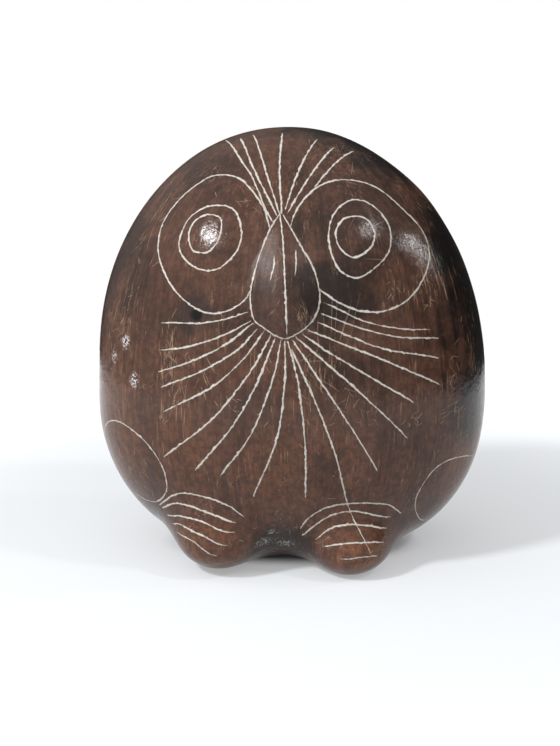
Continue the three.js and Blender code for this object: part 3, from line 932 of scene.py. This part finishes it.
def brown_colour(shader, patterns):
    """Dark and light brown with worn patches and painted light on the lower flanks, upright strokes and
    streaks, and smoke clouds with painted shade under the belly and beside the beak.
    """
    strokes, edge = patterns["strokes"], patterns["edge"]
    colour = shader.mix(shader.ramp(patterns["blotches"], 0.34, 0.66), BROWN["dark"], BROWN["light"])
    # Lighter orange-brown: wear on the toes, and painted light and floor reflection on the lower flanks.
    colour = shader.mix(soft_patches(shader, WORN_AND_LIT, edge), colour, BROWN["worn_and_lit"])
    colour = shader.mix(shader.ramp(strokes, 0.35, 0.65, 0.0, 0.35), colour, BROWN["stroke"])
    streaks = shader.ramp(patterns["streaks"], 0.3, 0.7, 0.0, 0.8)
    colour = shader.mix(streaks, colour, BROWN["streak_tint"], "MULTIPLY")
    colour = shader.mix(shader.ramp(patterns["mottle"], 0.4, 0.6, 0.55, 0.0), colour, BROWN["mottle"])
    fray = shader.math("ADD", edge, shader.around_zero(strokes, FRAY["strokes"]))
    # Near black: smoke clouds, and painted shade under the belly and beside the beak.
    return shader.mix(soft_patches(shader, SOOT_AND_PAINTED_SHADE, fray), colour, BROWN["soot_and_shade"])


def scuff_pattern(shader, patterns):
    """Fine upright scuffs: a few anywhere, and many in the scuffed places."""
    fine = shader.noise(patterns["streaky"], SIZE["scuffs"], detail=6.0, roughness=0.78)
    anywhere = shader.noise(shader.place, SIZE["scuff_zones"], detail=3.0)
    zone = shader.ramp(anywhere, 0.45, 0.62, 0.05, 0.42)
    zone = shader.math("MAXIMUM", zone, soft_patches(shader, SCUFFED, patterns["edge"]))
    return shader.math("MULTIPLY", shader.ramp(fine, 0.55, 0.65), zone)


def worn_colour(shader, colour, scuffs, pits):
    """Scuffs, tan specks and dark pits over the brown."""
    colour = shader.mix(scuffs, colour, BROWN["scuff"])
    specks = shader.noise(shader.place, SIZE["specks"], detail=3.0, roughness=0.7)
    colour = shader.mix(shader.ramp(specks, 0.72, 0.78, 0.0, 0.8), colour, BROWN["speck"])
    return shader.mix(shader.math("MULTIPLY", pits, 0.7), colour, BROWN["pit"])


def spotted_colour(shader, colour, edge):
    """The black knot with its dark halo, the whitish crumbs, and a painted reflection of the floor above
    the gap of the feet.
    """
    halo = shader.blob(KNOT["centre"], (KNOT["halo"],) * 3, edge)
    core = shader.blob(KNOT["centre"], (KNOT["core"],) * 3)
    halo = shader.math("MULTIPLY", halo, KNOT["halo_strength"])
    colour = shader.mix(halo, colour, BROWN["knot_halo"])
    colour = shader.mix(core, colour, BROWN["knot"])
    crumbs = shader.noise(shader.place, SIZE["crumbs"], detail=2.0, roughness=0.6)
    # Whitish crumbs, and a pale painted reflection of the floor above the gap of the feet.
    flecks_and_sheen = soft_patches(shader, WHITE_FLECKS_AND_SHEEN, 0.0)
    flecks_and_sheen = shader.math("MULTIPLY", flecks_and_sheen, shader.ramp(crumbs, 0.52, 0.58))
    return shader.mix(flecks_and_sheen, colour, BROWN["fleck_and_sheen"])


def brown_roughness(shader, patterns, scuffs):
    roughness = shader.ramp(patterns["mottle"], 0.35, 0.7, 0.09, 0.2)
    streaks = shader.ramp(patterns["streaks"], 0.35, 0.7, 0.0, 0.07)
    roughness = shader.math("ADD", roughness, streaks)
    matt = shader.blob(MATT_BEAK["centre"], MATT_BEAK["radii"])
    roughness = shader.math("ADD", roughness, shader.math("MULTIPLY", matt, MATT_BEAK["roughness"]))
    return shader.math("ADD", roughness, shader.math("MULTIPLY", scuffs, 0.3), clamp=True)


def burnished_material():
    """Dark brown, burnished in upright strokes, with smoke clouds, worn toes and tan scuffs."""
    shader = Shader("burnished_brown")
    patterns = brown_patterns(shader)
    scuffs = scuff_pattern(shader, patterns)
    pits = shader.noise(shader.place, SIZE["pits"], detail=2.0, roughness=0.8)
    pits = shader.ramp(pits, 0.36, 0.27)
    colour = worn_colour(shader, brown_colour(shader, patterns), scuffs, pits)
    dents = shader.noise(shader.place, SIZE["dents"], detail=4.0, roughness=0.6)
    normal = shader.bump(dents, BUMP["dents"])
    normal = shader.bump(patterns["streaks"], BUMP["streaks"], normal)
    sockets = {
        "Base Color": spotted_colour(shader, colour, patterns["edge"]),
        "Roughness": brown_roughness(shader, patterns, scuffs),
        "Normal": shader.bump(pits, BUMP["pits"], normal),
        "Specular IOR Level": BROWN_SPECULAR,
    }
    return shader.finish(sockets)


def bare_material():
    """The lighter tan under the burnished skin, where something has scratched it."""
    shader = Shader("bare_tan")
    grain = shader.noise(shader.place, 0.6, detail=4.0, roughness=0.7)
    colour = shader.mix(shader.ramp(grain, 0.3, 0.7), TAN["dark"], TAN["light"])
    normal = shader.bump(grain, BUMP["tan"])
    roughness = shader.ramp(grain, 0.2, 0.8, 0.65, 0.9)
    return shader.finish({"Base Color": colour, "Roughness": roughness, "Normal": normal})


def filling_material():
    """Off-white, chalky filling, thin and stained here and there."""
    shader = Shader("chalky_filling")
    grain = shader.noise(shader.place, 0.5, detail=4.0, roughness=0.7)
    stain = shader.noise(shader.place, 6.0, detail=3.0)
    thin = shader.noise(shader.place, 0.9, detail=3.0, roughness=0.7)
    colour = shader.mix(shader.ramp(grain, 0.25, 0.6), CHALK["dark"], CHALK["light"])
    colour = shader.mix(shader.ramp(stain, 0.6, 0.8, 0.0, 0.4), colour, CHALK["stain"])
    colour = shader.mix(shader.ramp(thin, 0.58, 0.7, 0.0, 0.7), colour, CHALK["thin"])
    normal = shader.bump(grain, BUMP["chalk"])
    roughness = shader.ramp(grain, 0.2, 0.8, 0.75, 0.95)
    return shader.finish({"Base Color": colour, "Roughness": roughness, "Normal": normal})


def paper_material():
    """The pale paper that the figurine stands on. It glows though it is no lamp: painted light that grows
    away from the figurine. Its glow drops under the belly, a painted shadow.
    """
    shader = Shader("pale_paper")
    fibre = shader.noise(shader.place, 1.5, detail=3.0)
    colour = shader.mix(fibre, PAPER["dark"], PAPER["light"])
    # Painted light: the paper glows, more strongly further from the figurine.
    painted_glow = shader.ramp(shader.length(shader.place), *FLOOR_FADE, *FLOOR_PAINTED_GLOW)
    # Painted shadow: the glow fades out on the oval of paper under the belly.
    shadow_share = shader.length(shader.vector("DIVIDE", shader.place, PAINTED_SHADOW_OVAL))
    sockets = {
        "Base Color": colour,
        "Roughness": 0.9,
        "Normal": shader.bump(fibre, BUMP["paper"]),
        "Emission Color": PAPER["painted_glow"],
        "Emission Strength": shader.math("MULTIPLY", painted_glow, shader.ramp(shadow_share, *PAINTED_SHADOW_EDGE)),
    }
    return shader.finish(sockets)


# ---------------------------------------------------------------- the studio

CAMERA = {"position": (0.0, -413.6, 147.9), "aim": (-3.6, 0.0, 63.3), "lens": 56.46, "sensor": 36.0}
FLOOR_RADIUS = 0.41  # metres
# The paper's glow is painted light; the paper is no lamp.
FLOOR_FADE = (110.0, 380.0)  # the glow of the paper grows between these distances, in millimetres
FLOOR_PAINTED_GLOW = (0.32, 0.78)  # how strongly the paper glows: near the figurine, and far away
FLOOR_CORNERS = 96
# Painted shadow on the paper: its glow is taken away on this oval under the belly.
PAINTED_SHADOW_OVAL = (42.0, 24.0, 10.0)  # the oval of paper that the figurine covers, in millimetres
PAINTED_SHADOW_EDGE = (0.75, 1.2)  # the glow comes back between these shares of that oval
# The room is brightest towards one side. Its brightness goes with how far a direction leans that way.
BRIGHT_SIDE = (-0.45, -0.60, 0.66)
BRIGHTNESS = {"from_lean": -0.55, "to_lean": 0.9, "least": 0.03, "most": 0.95}
SEEN_WHITE = 1.0  # the room's brightness as the camera sees it
# Soft boxes: the way towards each seen from the figurine, its distance and size in metres, its watts.
SOFT_BOXES = [
    {"name": "key", "way": (-0.57, -0.48, 0.67), "away": 1.1, "size": 0.15, "power": 9.5},
    {"name": "fill", "way": (0.62, -0.33, 0.72), "away": 1.1, "size": 0.11, "power": 2.2},
    {"name": "glint", "way": (0.90, 0.03, 0.43), "away": 1.1, "size": 0.10, "power": 1.2},
]


def add_floor(material):
    """A wide round sheet of paper."""
    angles = np.linspace(0, 2 * math.pi, FLOOR_CORNERS, endpoint=False)
    points = [(FLOOR_RADIUS * math.cos(a), FLOOR_RADIUS * math.sin(a), 0.0) for a in angles]
    mesh = bpy.data.meshes.new("paper_floor")
    mesh.from_pydata(points, [], [tuple(range(FLOOR_CORNERS))])
    mesh.materials.append(material)
    floor = bpy.data.objects.new("paper_floor", mesh)
    bpy.context.scene.collection.objects.link(floor)


def point_at(thing, position, target):
    thing.location = position
    thing.rotation_mode = "QUATERNION"
    thing.rotation_quaternion = (target - position).to_track_quat("-Z", "Y")
    bpy.context.scene.collection.objects.link(thing)


def add_soft_box(box, target):
    light = bpy.data.lights.new(box["name"], "AREA")
    light.shape = "DISK"
    light.size = box["size"]
    light.energy = box["power"]
    way = Vector(box["way"]).normalized()
    point_at(bpy.data.objects.new(box["name"], light), target + way * box["away"], target)


def add_camera():
    lens = bpy.data.cameras.new("camera")
    lens.sensor_width = CAMERA["sensor"]
    lens.lens = CAMERA["lens"]
    camera = bpy.data.objects.new("camera", lens)
    position, aim = (Vector((np.array(CAMERA[k]) + TO_FRAME) / MM_PER_METRE) for k in ("position", "aim"))
    point_at(camera, position, aim)
    bpy.context.scene.camera = camera


def light_the_room():
    """White light from all around, brightest from one side. The camera sees it plain white."""
    world = bpy.data.worlds.new("studio")
    world.use_nodes = True
    tree = world.node_tree
    way = add_node(tree, "ShaderNodeTexCoord", {}).outputs["Generated"]
    lean = add_node(tree, "ShaderNodeVectorMath", {0: way, 1: BRIGHT_SIDE}, operation="DOT_PRODUCT")
    range_inputs = {
        "Value": lean.outputs["Value"],
        "From Min": BRIGHTNESS["from_lean"],
        "From Max": BRIGHTNESS["to_lean"],
        "To Min": BRIGHTNESS["least"],
        "To Max": BRIGHTNESS["most"],
    }
    shed = add_node(tree, "ShaderNodeMapRange", range_inputs, interpolation_type="SMOOTHSTEP")
    seen = add_node(tree, "ShaderNodeLightPath", {}).outputs["Is Camera Ray"]
    range_inputs = {"Value": seen, "To Min": shed.outputs["Result"], "To Max": SEEN_WHITE}
    strength = add_node(tree, "ShaderNodeMapRange", range_inputs)
    background = tree.nodes["Background"]
    background.inputs["Color"].default_value = (1.0, 1.0, 1.0, 1.0)
    tree.links.new(strength.outputs["Result"], background.inputs["Strength"])
    bpy.context.scene.world = world
    bpy.context.scene.view_settings.view_transform = "Standard"


# ---------------------------------------------------------------- everything together

skin_points, skin_faces = body_skin()
low, high = (np.array(corner) * MM_PER_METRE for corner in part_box("body"))
TO_FRAME = (low + high) / 2 - (skin_points.min(axis=0) + skin_points.max(axis=0)) / 2
TO_FRAME[2] = 0.0

burnished, bare, chalk = burnished_material(), bare_material(), filling_material()
carved_body = add_object("carved_body", skin_points, skin_faces, [burnished, bare])
rng = np.random.default_rng(SEED)
cutters = [scribe(*line, rng, chalk) for line in all_lines()]
for patch in SCRATCH_PATCHES:
    cutters += [scratch_cutter(patch, rng) for _ in range(patch["count"])]
cut_away(carved_body, cutters, bare)
set_skin_normals(carved_body, skin_slot=0)
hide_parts("body")
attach(carved_body, "root")

add_floor(paper_material())
for box in SOFT_BOXES:
    add_soft_box(box, Vector((0.0, 0.0, EGG["waist"] / MM_PER_METRE)))
add_camera()
light_the_room()
